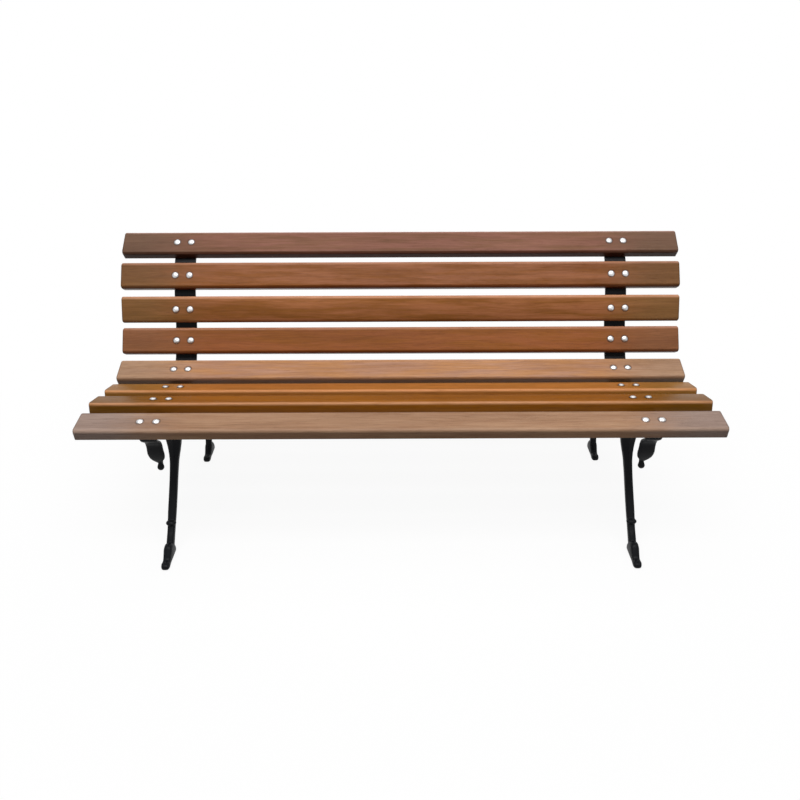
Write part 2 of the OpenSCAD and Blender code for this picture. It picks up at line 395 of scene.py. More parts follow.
class Effects:
    """The node groups that more than one material uses.

    Each span is a pair: where a mask starts, and where it is full. The spans on slats are distances
    from the corner with the painted highlight, the edge with the painted shade, the end, the end again and
    the middle of a bolt. Each relief holds the shares of two layers in the height.
    """

    SWAY = Pattern(2.6, 11.0)
    SWAY_REACH = (0.030, 0.020)
    FIBRES = ((Pattern(2.2, 60.0), 0.22), (Pattern(9.0, 300.0, 3.0, 0.6), 0.48),
              (Pattern(24.0, 900.0, 3.0, 0.6), 0.30))
    PORES = Pattern(38.0, 1900.0, 1.0)
    REDNESS = Pattern(5.0, 60.0, 4.0, 0.6)
    DEPTH = Pattern(2.0, 16.0)
    PATCHES = Pattern(14.0, 90.0)
    FINE_SPECKLE = Pattern(1.0, 1.0, 3.0, 0.6)
    COARSE_SPECKLE = Pattern(0.12, 0.12)
    PIT_DENSITY = 0.8
    GRAIN_RELIEF = (0.6, 0.5)
    SPECKLE_RELIEF = (0.7, 0.25)
    GRAIN_SPAN = (0.34, 0.66)
    WIDE_SPAN = (0.3, 0.7)
    PORE_SPAN = (0.60, 0.72)
    PATCH_SPAN = (0.2, 0.6)
    PATCH_SHARES = (0.55, 1.0)
    HIGHLIGHT_SPAN = (10.0 * MM, 4.0 * MM)
    PAINTED_SHADE_SPAN = (7.0 * MM, 2.0 * MM)
    END_GRAIN_SPAN = (3.6 * MM, 1.2 * MM)
    TONED_END_SPAN = (190.0 * MM, -10.0 * MM)
    TONED_END_DRIFT = -120.0 * MM
    PRESSED_AND_SHADED_SPAN = (12.5 * MM, 9.0 * MM)

    def __init__(self, bolt_columns: tuple[float, float]) -> None:
        """Builds each group once.

        Args:
            bolt_columns: Distance from the middle of a slat to its leg frame, and half the bolts' gap.
        """
        self.grain = self._grain()
        self.handling = self._handling(*bolt_columns)
        self.speckle = self._speckle()

    def _grain(self) -> NodeTree:
        """Hardwood grain: long fibres, growth bands, pores and slow drifts of colour.

        Returns:
            The group, which puts out masks for fibres, pores, redness and depth of colour, and a height.
        """
        graph = GroupGraph("hardwood_grain", "ShaderNodeTree", {"Place": "Vector"},
                           floats("Fibres", "Pores", "Redness", "Depth", "Height"))
        place = graph.take("Place")
        sway = graph.minus(graph.noise(place, self.SWAY), 0.5)
        shift = graph.join({axis: graph.times(sway, reach) for axis, reach in enumerate(self.SWAY_REACH, 1)})
        swayed = graph.vector("ADD", place, shift)
        layers = [graph.times(graph.noise(swayed, pattern), weight) for pattern, weight in self.FIBRES]
        fibres = graph.plus(graph.plus(layers[0], layers[1]), layers[2])
        pores = graph.ramp(graph.noise(place, self.PORES), *self.PORE_SPAN)
        rise, drop = self.GRAIN_RELIEF
        return graph.deliver({
            "Fibres": graph.ramp(fibres, *self.GRAIN_SPAN),
            "Pores": pores,
            "Redness": graph.ramp(graph.noise(swayed, self.REDNESS), *self.GRAIN_SPAN),
            "Depth": graph.ramp(graph.noise(place, self.DEPTH), *self.WIDE_SPAN),
            "Height": graph.minus(graph.times(fibres, rise), graph.times(pores, drop)),
        })

    def _handling(self, column: float, half_gap: float) -> NodeTree:
        """Where a slat gets its painted highlight and painted shade, its end grain, its toned ends, and its
        bolt rings, partly pressed wood and partly painted shade.

        Args:
            column: Distance from the middle of a slat to its leg frame.
            half_gap: Half the distance between the two bolts there.

        Returns:
            The group, which puts out five masks.
        """
        graph = GroupGraph("slat_handling", "ShaderNodeTree",
                           {"Place": "Vector"} | floats("Half Width", "Half Length", "Face", "Side"),
                           floats("Rubbed", "Soiled", "End Grain", "Weathered", "Pressed"))
        x, y, z = graph.split(graph.take("Place"))
        along = graph.math("ABSOLUTE", x)
        aside = graph.times(y, graph.take("Side"))
        corner = graph.plus(graph.minus(graph.take("Half Width"), aside), graph.minus(graph.take("Face"), z))
        patches = graph.noise(graph.take("Place"), self.PATCHES)
        to_end = graph.minus(graph.take("Half Length"), along)
        ragged = graph.plus(to_end, graph.times(patches, self.TONED_END_DRIFT))
        to_bolt = graph.minus(graph.math("ABSOLUTE", graph.minus(along, column)), half_gap)
        from_bolt = graph.vector("LENGTH", graph.join({0: to_bolt, 1: y}))
        return graph.deliver({
            # Painted highlight along one long edge, patchy.
            "Rubbed": graph.times(graph.ramp(corner, *self.HIGHLIGHT_SPAN),
                                  graph.ramp(patches, *self.PATCH_SPAN, *self.PATCH_SHARES)),
            # Painted shade on the long edge opposite the painted highlight.
            "Soiled": graph.ramp(graph.plus(graph.take("Half Width"), aside), *self.PAINTED_SHADE_SPAN),
            "End Grain": graph.ramp(to_end, *self.END_GRAIN_SPAN),
            "Weathered": graph.ramp(ragged, *self.TONED_END_SPAN),
            # Ring round each bolt's head: partly pressed wood, partly painted shade.
            "Pressed": graph.ramp(from_bolt, *self.PRESSED_AND_SHADED_SPAN),
        })

    def _speckle(self) -> NodeTree:
        """Small and large mottling, as on cast iron and on plated steel.

        Returns:
            The group, which puts out a fine and a coarse mask and a height.
        """
        graph = GroupGraph("metal_speckle", "ShaderNodeTree", {"Place": "Vector", "Size": "Float"},
                           floats("Fine", "Coarse", "Height"))
        place = graph.scaled(graph.take("Place"), graph.math("DIVIDE", 1.0, graph.take("Size")))
        fine = graph.noise(place, self.FINE_SPECKLE)
        pits = graph.node("ShaderNodeTexVoronoi", {"Vector": place, "Scale": self.PIT_DENSITY}).outputs[0]
        sand, pitting = self.SPECKLE_RELIEF
        return graph.deliver({
            "Fine": graph.ramp(fine, *self.WIDE_SPAN),
            "Coarse": graph.ramp(graph.noise(place, self.COARSE_SPECKLE), *self.WIDE_SPAN),
            "Height": graph.plus(graph.times(fine, sand), graph.times(pits, pitting)),
        })


class MaterialGraph(Graph):
    """A new material's graph, with its shader and output already joined."""

    def __init__(self, name: str) -> None:
        """Starts the material.

        Args:
            name: The material's name.
        """
        self.material = bpy.data.materials.new(name)
        super().__init__(emptied(self.material))
        self.shader = self.node("ShaderNodeBsdfPrincipled")
        self.node("ShaderNodeOutputMaterial", {"Surface": self.shader.outputs[0]})

    def masks(self, group: NodeTree, inputs: dict) -> dict[str, NodeSocket]:
        """Places a shared group.

        Args:
            group: The group.
            inputs: Values or sockets for its inputs.

        Returns:
            The group's outputs by name.
        """
        made = self.node("ShaderNodeGroup", inputs, node_tree=group)
        return {socket.name: socket for socket in made.outputs}

    def speckle(self, effects: Effects, size: float) -> dict[str, NodeSocket]:
        """Places the metals' mottling on the piece's own coordinates.

        Args:
            effects: The shared groups.
            size: Size of one grain of it, in metres.

        Returns:
            The group's outputs by name.
        """
        place = self.node("ShaderNodeTexCoord").outputs["Object"]
        return self.masks(effects.speckle, {"Place": place, "Size": size})

    def attribute(self, name: str, output: str = "Fac") -> NodeSocket:
        """Returns what one of the mesh's attributes holds."""
        return self.node("ShaderNodeAttribute", attribute_name=name).outputs[output]

    def finish(self, inputs: dict, height: NodeSocket, distance: float) -> Material:
        """Feeds the shader.

        Args:
            inputs: Values or sockets for its inputs.
            height: The height of the surface's small forms.
            distance: How far a height of 1 stands out, in metres.

        Returns:
            The finished material.
        """
        bump = self.node("ShaderNodeBump", {"Height": height, "Distance": distance, "Strength": 1.0})
        self.fill(self.shader, inputs | {"Normal": bump.outputs[0]})
        return self.material


# ------------------------------------------------------------- finishes


@dataclass(frozen=True)
class WoodFinish:
    """Oiled hardwood in one tone.

    Attributes:
        slot: The record's slot.
        golden: Colour where the wood is golden.
        reddish: Colour where it is redder.
        sheen: Roughness of the oiled face.
        gloss: Level of the reflection.
        rubbed_edge: Which long edge carries the painted highlight.
        rubbed: How far the painted highlight shows.
        highlight_tone: Factor and lift that turn the golden colour into the painted highlight's colour.
        painted_shade: How far the other long edge is darkened by painted shade.
        end_tone: How the ends are toned, darker or greyer.
        toned_ends: How far the ends are toned.
        roughening: What the pores and the depth of colour add to the roughness.
        relief: Height of the grain.
    """

    slot: Slot
    golden: ScreenColour
    reddish: ScreenColour
    sheen: float = 0.30
    gloss: float = 0.15
    rubbed_edge: HighlightEdge = HighlightEdge.UPPER_OR_REAR
    rubbed: float = 0.6
    highlight_tone: tuple[float, float] = (1.2, 0.10)
    painted_shade: float = 0.8
    end_tone: EndTone = EndTone.DARKENED
    toned_ends: float = 0.85
    roughening: tuple[float, float] = (0.2, 0.08)
    relief: float = 0.3 * MM

    def stains(self) -> dict[str, tuple[float, Colour]]:
        """Lists the transparent stains, painted shade among them, in the order in which they are laid.

        Returns:
            Each stain's strength and colour, by its mask.
        """
        return {
            "Fibres": (0.75, (0.64, 0.58, 0.52)),
            "Depth": (0.75, (0.72, 0.68, 0.66)),
            "Pores": (0.6, (0.55, 0.48, 0.42)),
            # Painted shade on the long edge opposite the painted highlight.
            "Soiled": (self.painted_shade, (0.40, 0.30, 0.24)),
            "End Grain": (0.6, (0.42, 0.40, 0.40)),
            # A darker ring round each bolt's head: partly wood pressed by the head, partly painted shade.
            "Pressed": (0.7, (0.45, 0.42, 0.42)),
        }

    def material(self, effects: Effects, half_width: float, half_length: float,
                 face: float) -> Material:
        """Builds the material.

        Args:
            effects: The shared groups.
            half_width: Half the slat's width.
            half_length: Half the slat's length.
            face: Height of the sitter's face over the iron.

        Returns:
            The material.
        """
        graph = MaterialGraph("oiled_" + self.slot.value)
        golden = screen_colour(self.golden)
        toned_ends = tuple(c * share for c, share in zip(golden, self.end_tone.value))
        factor, lift = self.highlight_tone
        rubbed = tuple(min(1.0, factor * c + lift) for c in golden)
        masks = graph.masks(effects.grain, {"Place": graph.attribute(Attribute.FIGURE, "Vector")})
        masks |= graph.masks(effects.handling, {
            "Place": graph.attribute(Attribute.BOARD, "Vector"), "Half Width": half_width,
            "Half Length": half_length, "Face": face, "Side": self.rubbed_edge.value})
        colour = graph.blend(masks["Redness"], golden, screen_colour(self.reddish))
        # Darker or greyer towards each end.
        colour = graph.blend(graph.times(masks["Weathered"], self.toned_ends), colour, toned_ends)
        for name, (strength, stain) in self.stains().items():
            colour = graph.blend(graph.times(masks[name], strength), colour, stain, "MULTIPLY")
        # Painted highlight: one long edge turns paler and lifted towards white, where light from above would
        # catch its rounding.
        colour = graph.blend(graph.times(masks["Rubbed"], self.rubbed), colour, rubbed)
        in_pores, in_depth = self.roughening
        roughness = graph.plus(graph.times(masks["Pores"], in_pores), self.sheen)
        roughness = graph.plus(roughness, graph.times(masks["Depth"], in_depth))
        return graph.finish({"Base Color": colour, "Roughness": roughness, "Specular IOR Level": self.gloss},
                            masks["Height"], self.relief)


@dataclass(frozen=True)
class CastIronFinish:
    """Cast iron under satin black paint.

    Attributes:
        slot: The record's slot.
        paint: The paint's colour.
        worn: Colour where the paint is thin on the edges.
        drift: How far the paint drifts to its darker shade.
        shade: That shade, as a share of the paint's colour.
        wear: How far the worn colour shows.
        patch_span: Values of the coarse mottling between which the wear grows.
        patch_wear: Share of the wear at either end of that span.
        roughening: What the fine mottling adds to the roughness.
        sheen: The paint's roughness.
        gloss: Level of the reflection.
        grain: Size of the sand's grain in the skin.
        relief: Height of that grain.
    """

    slot: Slot = Slot.CAST_IRON
    paint: ScreenColour = (10, 12, 16)
    worn: ScreenColour = (30, 32, 37)
    drift: float = 0.5
    shade: float = 0.6
    wear: float = 0.6
    patch_span: tuple[float, float] = (0.1, 0.9)
    patch_wear: tuple[float, float] = (0.25, 1.0)
    roughening: float = 0.14
    sheen: float = 0.36
    gloss: float = 0.11
    grain: float = 2.2 * MM
    relief: float = 0.28 * MM

    def material(self, effects: Effects) -> Material:
        """Builds the material.

        Args:
            effects: The shared groups.

        Returns:
            The material.
        """
        graph = MaterialGraph("painted_" + self.slot.value)
        paint = screen_colour(self.paint)
        skin = graph.speckle(effects, self.grain)
        darker = tuple(self.shade * c for c in paint)
        colour = graph.blend(graph.times(skin["Coarse"], self.drift), paint, darker)
        patches = graph.ramp(skin["Coarse"], *self.patch_span, *self.patch_wear)
        patchy = graph.times(graph.attribute(Attribute.WORN), patches)
        colour = graph.blend(graph.times(patchy, self.wear), colour, screen_colour(self.worn))
        roughness = graph.plus(graph.times(skin["Fine"], self.roughening), self.sheen)
        return graph.finish({"Base Color": colour, "Roughness": roughness, "Specular IOR Level": self.gloss},
                            skin["Height"], self.relief)


@dataclass(frozen=True)
class ZincFinish:
    """Bright zinc plating on steel.

    Attributes:
        slot: The record's slot.
        bright: The plating's colour.
        dull: Colour where it has dulled.
        painted_shade: Colour painted round the edge of a bolt's head as shade.
        dulling: How far the plating has dulled.
        rim_shading: How far that painted shade covers it.
        roughening: What the fine mottling adds to the roughness.
        sheen: The plating's roughness.
        grain: Size of the plating's grain.
        relief: Height of that grain.
    """

    slot: Slot = Slot.ZINC
    bright: ScreenColour = (222, 222, 224)
    dull: ScreenColour = (176, 176, 176)
    painted_shade: ScreenColour = (84, 66, 54)
    dulling: float = 0.4
    rim_shading: float = 0.8
    roughening: float = 0.14
    sheen: float = 0.26
    grain: float = 1.1 * MM
    relief: float = 0.05 * MM

    def material(self, effects: Effects) -> Material:
        """Builds the material.

        Args:
            effects: The shared groups.

        Returns:
            The material.
        """
        graph = MaterialGraph("bright_" + self.slot.value)
        plating = graph.speckle(effects, self.grain)
        share = graph.times(graph.plus(plating["Coarse"], graph.attribute(Attribute.TINT)), self.dulling)
        colour = graph.blend(share, screen_colour(self.bright), screen_colour(self.dull))
        # Painted shade round the rim of each bolt's head.
        rim = graph.times(graph.attribute(Attribute.RIM), self.rim_shading)
        colour = graph.blend(rim, colour, screen_colour(self.painted_shade))
        roughness = graph.plus(graph.times(plating["Fine"], self.roughening), self.sheen)
        return graph.finish({"Base Color": colour, "Metallic": 1.0, "Roughness": roughness},
                            plating["Height"], self.relief)


# --------------------------------------------------------------- meshes


def swept(name: str, rings: list[list[Vector]], sharp: float) -> Mesh:
    """Joins rings of points into a bar with a face at each end.

    Args:
        name: The mesh's name.
        rings: The rings, each with the same number of points.
        sharp: Angle in degrees past which an edge stays sharp.

    Returns:
        The mesh.
    """
    shell = bmesh.new()
    rows = [[shell.verts.new(p) for p in ring] for ring in rings]
    count = len(rows[0])
    for low, high in zip(rows, rows[1:]):
        for i in range(count):
            j = (i + 1) % count
            shell.faces.new((low[i], low[j], high[j], high[i]))
    shell.faces.new(list(reversed(rows[0])))
    shell.faces.new(rows[-1])
    return to_mesh(shell, name, sharp)


def turned(name: str, profile: list[tuple[float, float]], segments: int, sharp: float,
           spin: Callable[[float, float], float] | None = None) -> Mesh:
    """Turns a closed profile about Z into a solid ring, or into a body where it meets the axis.

    Args:
        name: The mesh's name.
        profile: Radius and height of each point; a body starts and ends at radius 0.
        segments: Number of steps round the axis.
        sharp: Angle in degrees past which an edge stays sharp.
        spin: Gives a radius from the angle and the profile's radius, where it isn't round.

    Returns:
        The mesh.
    """
    shell = bmesh.new()
    loops = []
    for radius, height in profile:
        if radius <= 0:
            loops.append([shell.verts.new((0, 0, height))])
            continue
        loop = []
        for i in range(segments):
            angle = 2 * math.pi * i / segments
            reach = spin(angle, radius) if spin else radius
            loop.append(shell.verts.new((reach * math.cos(angle), reach * math.sin(angle), height)))
        loops.append(loop)
    pairs = list(zip(loops, loops[1:]))
    if len(loops[0]) > 1:
        pairs.append((loops[-1], loops[0]))
    for low, high in pairs:
        for i in range(segments):
            j = (i + 1) % segments
            if len(low) == 1:
                shell.faces.new((low[0], high[j], high[i]))
            elif len(high) == 1:
                shell.faces.new((low[i], low[j], high[0]))
            else:
                shell.faces.new((low[i], low[j], high[j], high[i]))
    return to_mesh(shell, name, sharp)


def to_mesh(shell: bmesh.types.BMesh, name: str, sharp: float = 35.0) -> Mesh:
    """Closes a shape's work: merges doubles, points its faces out and shades it.

    Args:
        shell: The shape, which is freed.
        name: The mesh's name.
        sharp: Angle in degrees past which an edge stays sharp.

    Returns:
        The mesh.
    """
    bmesh.ops.remove_doubles(shell, verts=shell.verts, dist=SAME_POINT)
    bmesh.ops.recalc_face_normals(shell, faces=shell.faces)
    mesh = bpy.data.meshes.new(name)
    shell.to_mesh(mesh)
    shell.free()
    mesh.shade_smooth()
    mesh.set_sharp_from_angle(angle=math.radians(sharp))
    return mesh


def read(parts: bpy_prop_collection, name: str, width: int, kind: type = float) -> np.ndarray:
    """Reads one property of all points or edges of a mesh.

    Args:
        parts: The points or edges.
        name: The property's name.
        width: How many numbers each holds.
        kind: The numbers' type.

    Returns:
        The numbers, one row for each part.
    """
    numbers = np.empty(len(parts) * width, dtype=kind)
    parts.foreach_get(name, numbers)
    return numbers.reshape(-1, width)


def mark(mesh: Mesh, name: str, shares: np.ndarray) -> None:
    """Stores a share for each point of a mesh, for its material to read."""
    mesh.attributes.new(name, "FLOAT", "POINT").data.foreach_set("value", shares)


def show(name: str, data: Mesh | Camera | Light) -> Object:
    """Puts a mesh, a camera or a lamp in the scene.

    Args:
        name: Its object's name.
        data: The mesh, camera or lamp.

    Returns:
        Its object.
    """
    piece = bpy.data.objects.new(name, data)
    bpy.context.scene.collection.objects.link(piece)
    return piece


def settle(piece: Object) -> None:
    """Turns a piece's modifiers into its plain mesh and removes them.

    Args:
        piece: The piece.
    """
    bpy.context.view_layer.update()
    depsgraph = bpy.context.evaluated_depsgraph_get()
    result = bpy.data.meshes.new_from_object(
        piece.evaluated_get(depsgraph), preserve_all_data_layers=True, depsgraph=depsgraph)
    piece.modifiers.clear()
    used = piece.data
    piece.data = result
    result.name = piece.name
    bpy.data.meshes.remove(used)


def node_points(node: str) -> np.ndarray:
    """Returns the points of a CAD node, one row each, in metres."""
    return read(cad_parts[node].data.vertices, "co", 3)


def keep_inside(piece: Object, node: str) -> None:
    """Pulls the few points that stand out of a CAD node's box back to it.

    Args:
        piece: The piece that stands for the node.
        node: The node's name.
    """
    limits = node_points(node)
    held = np.clip(read(piece.data.vertices, "co", 3), limits.min(0), limits.max(0))
    piece.data.vertices.foreach_set("co", held.ravel())
    piece.data.update()


def hand_over(piece: Object, node: str) -> None:
    """Tells the frame what a piece rides on and hides the CAD node that it stands for.

    Args:
        piece: The finished piece.
        node: The CAD node that it replaces.
    """
    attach(piece, BODY)
    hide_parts(node)
    logger.info("%s stands for %s: %d faces", piece.name, node, len(piece.data.polygons))


@dataclass(frozen=True)
class BoardPlace:
    """Where a slat lies: X runs along it, Y up it, and Z out of its face to the sitter.

    Attributes:
        middle: Middle of the face that lies on the iron.
        tilt: Turn about X, in radians.
        length: Length of the slat.
        width: Width of the slat.
        thickness: Thickness of the slat.
    """

    middle: Vector
    tilt: float
    length: float
    width: float
    thickness: float

    @staticmethod
    def of(node: str) -> "BoardPlace":
        """Measures a slat's CAD node.

        Args:
            node: The node's name.

        Returns:
            The slat's place.
        """
        points = node_points(node)
        section = points[:, 1:]
        _, axes = np.linalg.eigh(np.cov((section - section.mean(0)).T))
        up = axes[:, 1] * np.sign(axes[0, 1])
        out = np.array([-up[1], up[0]])
        along_up, along_out = section @ up, section @ out
        centre_up = (along_up.min() + along_up.max()) / 2
        middle = up * centre_up + out * along_out.min()
        return BoardPlace(
            middle=Vector((0.0, middle[0], middle[1])),
            tilt=math.atan2(up[1], up[0]),
            length=float(np.ptp(points[:, 0])),
            width=float(np.ptp(along_up)),
            thickness=float(np.ptp(along_out)),
        )


def bolt_columns(node: str, gap: float = 5 * MM) -> list[float]:
    """Finds where along a slat its bolts stand.

    Args:
        node: A CAD node that holds bolts.
        gap: Distance past which two points belong to different bolts.

    Returns:
        The X of each bolt, from left to right.
    """
    across = np.sort(node_points(node)[:, 0])
    groups = np.split(across, np.nonzero(np.diff(across) > gap)[0] + 1)
    return [float(g[0] + g[-1]) / 2 for g in groups]


# ---------------------------------------------------------------- slats


@dataclass(frozen=True)
class SlatPlan:
    """One slat.

    Attributes:
        node: Its CAD node.
        finish: Its wood.
        upper_radius: Rounding of its upper or rear edge on the sitter's side.
    """

    node: str
    finish: WoodFinish
    upper_radius: float = 7.5 * MM


@dataclass
class Slats:
    """The eight hardwood slats of seat and back.

    Attributes:
        effects: The shared node groups.
        face_radius: Rounding of the lower or front edge on the sitter's side.
        rear_radius: Rounding of the two edges on the iron side.
        least_radius: Rounding that the easing of the ends leaves, at least.
        edge_steps: Number of steps round an edge.
        land: Distance from a rounding to the row of points that keeps the face beside it flat.
        end_radius: Rounding of the corners of the ends.
        end_steps: Number of steps round such a corner.
        end_ease: Easing of the edges round the ends.
        ring_count: Number of steps along a slat.
        waviness: How far the planed faces dip, at most.
        dips: Where they dip.
        figure_start: Where in the grain the first slat is cut.
        figure_step: Distance in the grain from each slat to the next.
        plans: The slats.
    """

    effects: Effects
    face_radius: float = 7.5 * MM
    rear_radius: float = 1.5 * MM
    least_radius: float = 0.6 * MM
    edge_steps: int = 7
    land: float = 1.0 * MM
    end_radius: float = 4.0 * MM
    end_steps: int = 6
    end_ease: float = 1.1 * MM
    ring_count: int = 60
    waviness: float = 0.25 * MM
    dips: Pattern = Pattern(5.0, 22.0)
    figure_start: tuple[float, float, float] = (0.0, 0.0, 0.19)
    figure_step: tuple[float, float, float] = (1.73, 0.113, 0.071)
    plans: tuple[SlatPlan, ...] = (
        # The grey and pale tones of back_slat_1, seat_slat_1 and seat_slat_4 are partly painted sheen from
        # the overhead light.
        SlatPlan("back_slat_1", WoodFinish(Slot.WOOD_GREY, (143, 96, 79), (127, 87, 62))),
        SlatPlan("back_slat_2", WoodFinish(Slot.WOOD_BROWN, (160, 100, 61), (137, 79, 21))),
        SlatPlan("back_slat_3", WoodFinish(Slot.WOOD_BROWN, (185, 122, 80), (154, 99, 46))),
        SlatPlan("back_slat_4", WoodFinish(
            Slot.WOOD_BROWN, (160, 96, 53), (149, 90, 37), end_tone=EndTone.GREYED)),
        SlatPlan("seat_slat_1", WoodFinish(
            Slot.WOOD_PALE, (199, 146, 99), (189, 145, 119), rubbed=0.3, painted_shade=0.45,
            end_tone=EndTone.GREYED)),
        SlatPlan("seat_slat_2", WoodFinish(
            Slot.WOOD_GOLDEN, (193, 122, 56), (176, 114, 49), rubbed_edge=HighlightEdge.FRONT)),
        SlatPlan("seat_slat_3", WoodFinish(
            Slot.WOOD_GOLDEN, (158, 96, 23), (150, 93, 31), rubbed_edge=HighlightEdge.FRONT, rubbed=0.9)),
        SlatPlan("seat_slat_4", WoodFinish(
            Slot.WOOD_PALE, (177, 140, 110), (169, 130, 100), rubbed_edge=HighlightEdge.FRONT, rubbed=0.2,
            end_tone=EndTone.GREYED), upper_radius=4.0 * MM),
    )

    def section(self, place: BoardPlace, upper: float, narrow: float,
                thin: float) -> list[tuple[float, float]]:
        """Outlines a slat across its length.

        Args:
            place: The slat's measures.
            upper: Rounding of the upper or rear edge on the sitter's side.
            narrow: How much each side is drawn in.
            thin: How much the face and the rear are drawn in.

        Returns:
            The outline's points, Y and Z, counter-clockwise.
        """
        half = place.width / 2 - narrow
        low, high = thin, place.thickness - thin
        corners = [
            (half, low, self.rear_radius, -90), (half, high, upper, 0),
            (-half, high, self.face_radius, 90), (-half, low, self.rear_radius, 180),
        ]
        outline = []
        for y, z, radius, start in corners:
            radius = max(radius - thin, self.least_radius)
            cy = y - math.copysign(radius, y)
            cz = z - radius if z > place.thickness / 2 else z + radius
            for i in range(-1, self.edge_steps + 2):
                angle = math.radians(start + 90 * min(max(i, 0), self.edge_steps) / self.edge_steps)
                py, pz = cy + radius * math.cos(angle), cz + radius * math.sin(angle)
                if i in (-1, self.edge_steps + 1):
                    slide = self.land * (1 if i < 0 else -1)
                    py += slide * math.sin(angle)
                    pz -= slide * math.cos(angle)
                outline.append((py, pz))
        return outline

    def blank(self, place: BoardPlace, upper: float) -> Mesh:
        """Makes one slat at the origin, rounded along its edges and eased at its ends.

        Args:
            place: The slat's measures.
            upper: Rounding of the upper or rear edge on the sitter's side.

        Returns:
            The mesh.
        """
        half = place.length / 2
        inner = half - self.end_radius
        angles = [math.pi / 2 * i / self.end_steps for i in range(1, self.end_steps + 1)]
        ends = [(self.end_radius * math.sin(a), self.end_radius * (1 - math.cos(a))) for a in angles]

        def ring(x: float, narrow: float) -> list[Vector]:
            """Outlines the slat at one place along it.

            Args:
                x: The place.
                narrow: How much each side is drawn in.

            Returns:
                The outline's points.
            """
            over = max(0.0, self.end_ease - (half - abs(x)))
            thin = self.end_ease - math.sqrt(max(0.0, self.end_ease ** 2 - over ** 2))
            return [Vector((x, y, z)) for y, z in self.section(place, upper, narrow, thin)]

        rings = [ring(-inner - reach, narrow) for reach, narrow in reversed(ends)]
        rings += [ring(inner * (2 * i / self.ring_count - 1), 0.0) for i in range(self.ring_count + 1)]
        rings += [ring(inner + reach, narrow) for reach, narrow in ends]
        return swept("slat_blank", rings, sharp=50.0)

    def lay_tree(self) -> LayingGraph:
        """Builds the geometry group that dresses a blank and lays it on the iron.

        Returns:
            The group.
        """
        graph = LayingGraph("lay_slat", {"Waviness": "Float", "Figure Offset": "Vector"})
        position = graph.node("GeometryNodeInputPosition").outputs[0]
        figure = graph.vector("ADD", position, graph.take("Figure Offset"))
        board = graph.store(graph.take("Geometry"), Attribute.BOARD, position, "FLOAT_VECTOR")
        cut = graph.store(board, Attribute.FIGURE, figure, "FLOAT_VECTOR")
        depth = graph.times(graph.noise(figure, self.dips), graph.take("Waviness"))
        outward = graph.node("GeometryNodeInputNormal").outputs[0]
        planed = graph.node("GeometryNodeSetPosition", {
            "Geometry": cut, "Offset": graph.scaled(outward, graph.times(depth, -1.0))})
        graph.lay(planed.outputs[0])
        return graph

    def build(self) -> None:
        """Makes, lays and hands over each slat."""
        laying = self.lay_tree()
        for number, plan in enumerate(self.plans):
            place = BoardPlace.of(plan.node)
            piece = show("hardwood_" + plan.node, self.blank(place, plan.upper_radius))
            laying.run(piece, {
                "Tilt": place.tilt, "Place": place.middle, "Waviness": self.waviness,
                "Figure Offset": Vector(s + t * number for s, t in zip(self.figure_start, self.figure_step)),
                "Material": plan.finish.material(
                    self.effects, place.width / 2, place.length / 2, place.thickness)})
            keep_inside(piece, plan.node)
            hand_over(piece, plan.node)


# ------------------------------------------------------------ leg frames


@dataclass
class LegFrames:
    """The two cast-iron frames, with the soft edges and fillets of a casting.

    Attributes:
        effects: The shared node groups.
        nodes: Their CAD nodes.
        weld: Distance within which two points of the CAD mesh are one.
        voxel: Grid step of the remeshed skin.
        edge_rounds: Rounds of smoothing, which set how soft the edges are.
        wear_span: How far a point stands proud where wear starts, and the span to full wear, in voxels.
        finish: The paint.
    """

    effects: Effects
    nodes: tuple[str, str] = ("left_leg_frame", "right_leg_frame")
    weld: float = 5e-6
    voxel: float = 1.7 * MM
    edge_rounds: int = 4
    wear_span: tuple[float, float] = (0.05, 0.16)
    finish: CastIronFinish = CastIronFinish()

    def skin(self, node: str) -> Object:
        """Grows a smooth skin over a frame's CAD shape.

        Args:
            node: The frame's CAD node.

        Returns:
            The skinned piece.
        """
        core = bmesh.new()
        core.from_mesh(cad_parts[node].data)
        bmesh.ops.remove_doubles(core, verts=core.verts, dist=self.weld)
        bmesh.ops.recalc_face_normals(core, faces=core.faces)
        shape = bpy.data.meshes.new(node + "_core")
        core.to_mesh(shape)
        core.free()
        guide = show(node + "_guide", shape.copy())
        piece = show("cast_" + node, shape)
        remesh = piece.modifiers.new("skin", "REMESH")
        remesh.mode = "VOXEL"
        remesh.voxel_size = self.voxel
        piece.modifiers.new("cling", "SHRINKWRAP").target = guide
        soften = piece.modifiers.new("soften", "SMOOTH")
        soften.factor = 0.5
        soften.iterations = self.edge_rounds
        settle(piece)
        bpy.data.objects.remove(guide)
        return piece

    def mark_worn_edges(self, mesh: Mesh) -> None:
        """Stores how far each point stands proud of its neighbours, for thin paint.

        Args:
            mesh: The frame's mesh.
        """
        points = read(mesh.vertices, "co", 3)
        normals = read(mesh.vertex_normals, "vector", 3)
        ends = read(mesh.edges, "vertices", 2, np.int64)
        meet = np.bincount(ends.ravel(), minlength=len(points))[:, None]

        def around(values: np.ndarray) -> np.ndarray:
            """Takes the mean of each point's neighbours.

            Args:
                values: A row for each point.

            Returns:
                The means, a row for each point.
            """
            total = np.zeros_like(values)
            np.add.at(total, ends[:, 0], values[ends[:, 1]])
            np.add.at(total, ends[:, 1], values[ends[:, 0]])
            return total / meet

        proud = ((points - around(points)) * normals).sum(1, keepdims=True) / self.voxel
        for _ in range(2):
            proud = around(proud)
        start, span = self.wear_span
        mark(mesh, Attribute.WORN, np.clip((proud[:, 0] - start) / span, 0, 1))

    def build(self) -> None:
        """Makes and hands over both frames."""
        material = self.finish.material(self.effects)
        for node in self.nodes:
            piece = self.skin(node)
            keep_inside(piece, node)
            self.mark_worn_edges(piece.data)
            piece.data.shade_smooth()
            piece.data.materials.clear()
            piece.data.materials.append(material)
            hand_over(piece, node)


# ------------------------------------------------------------- fasteners


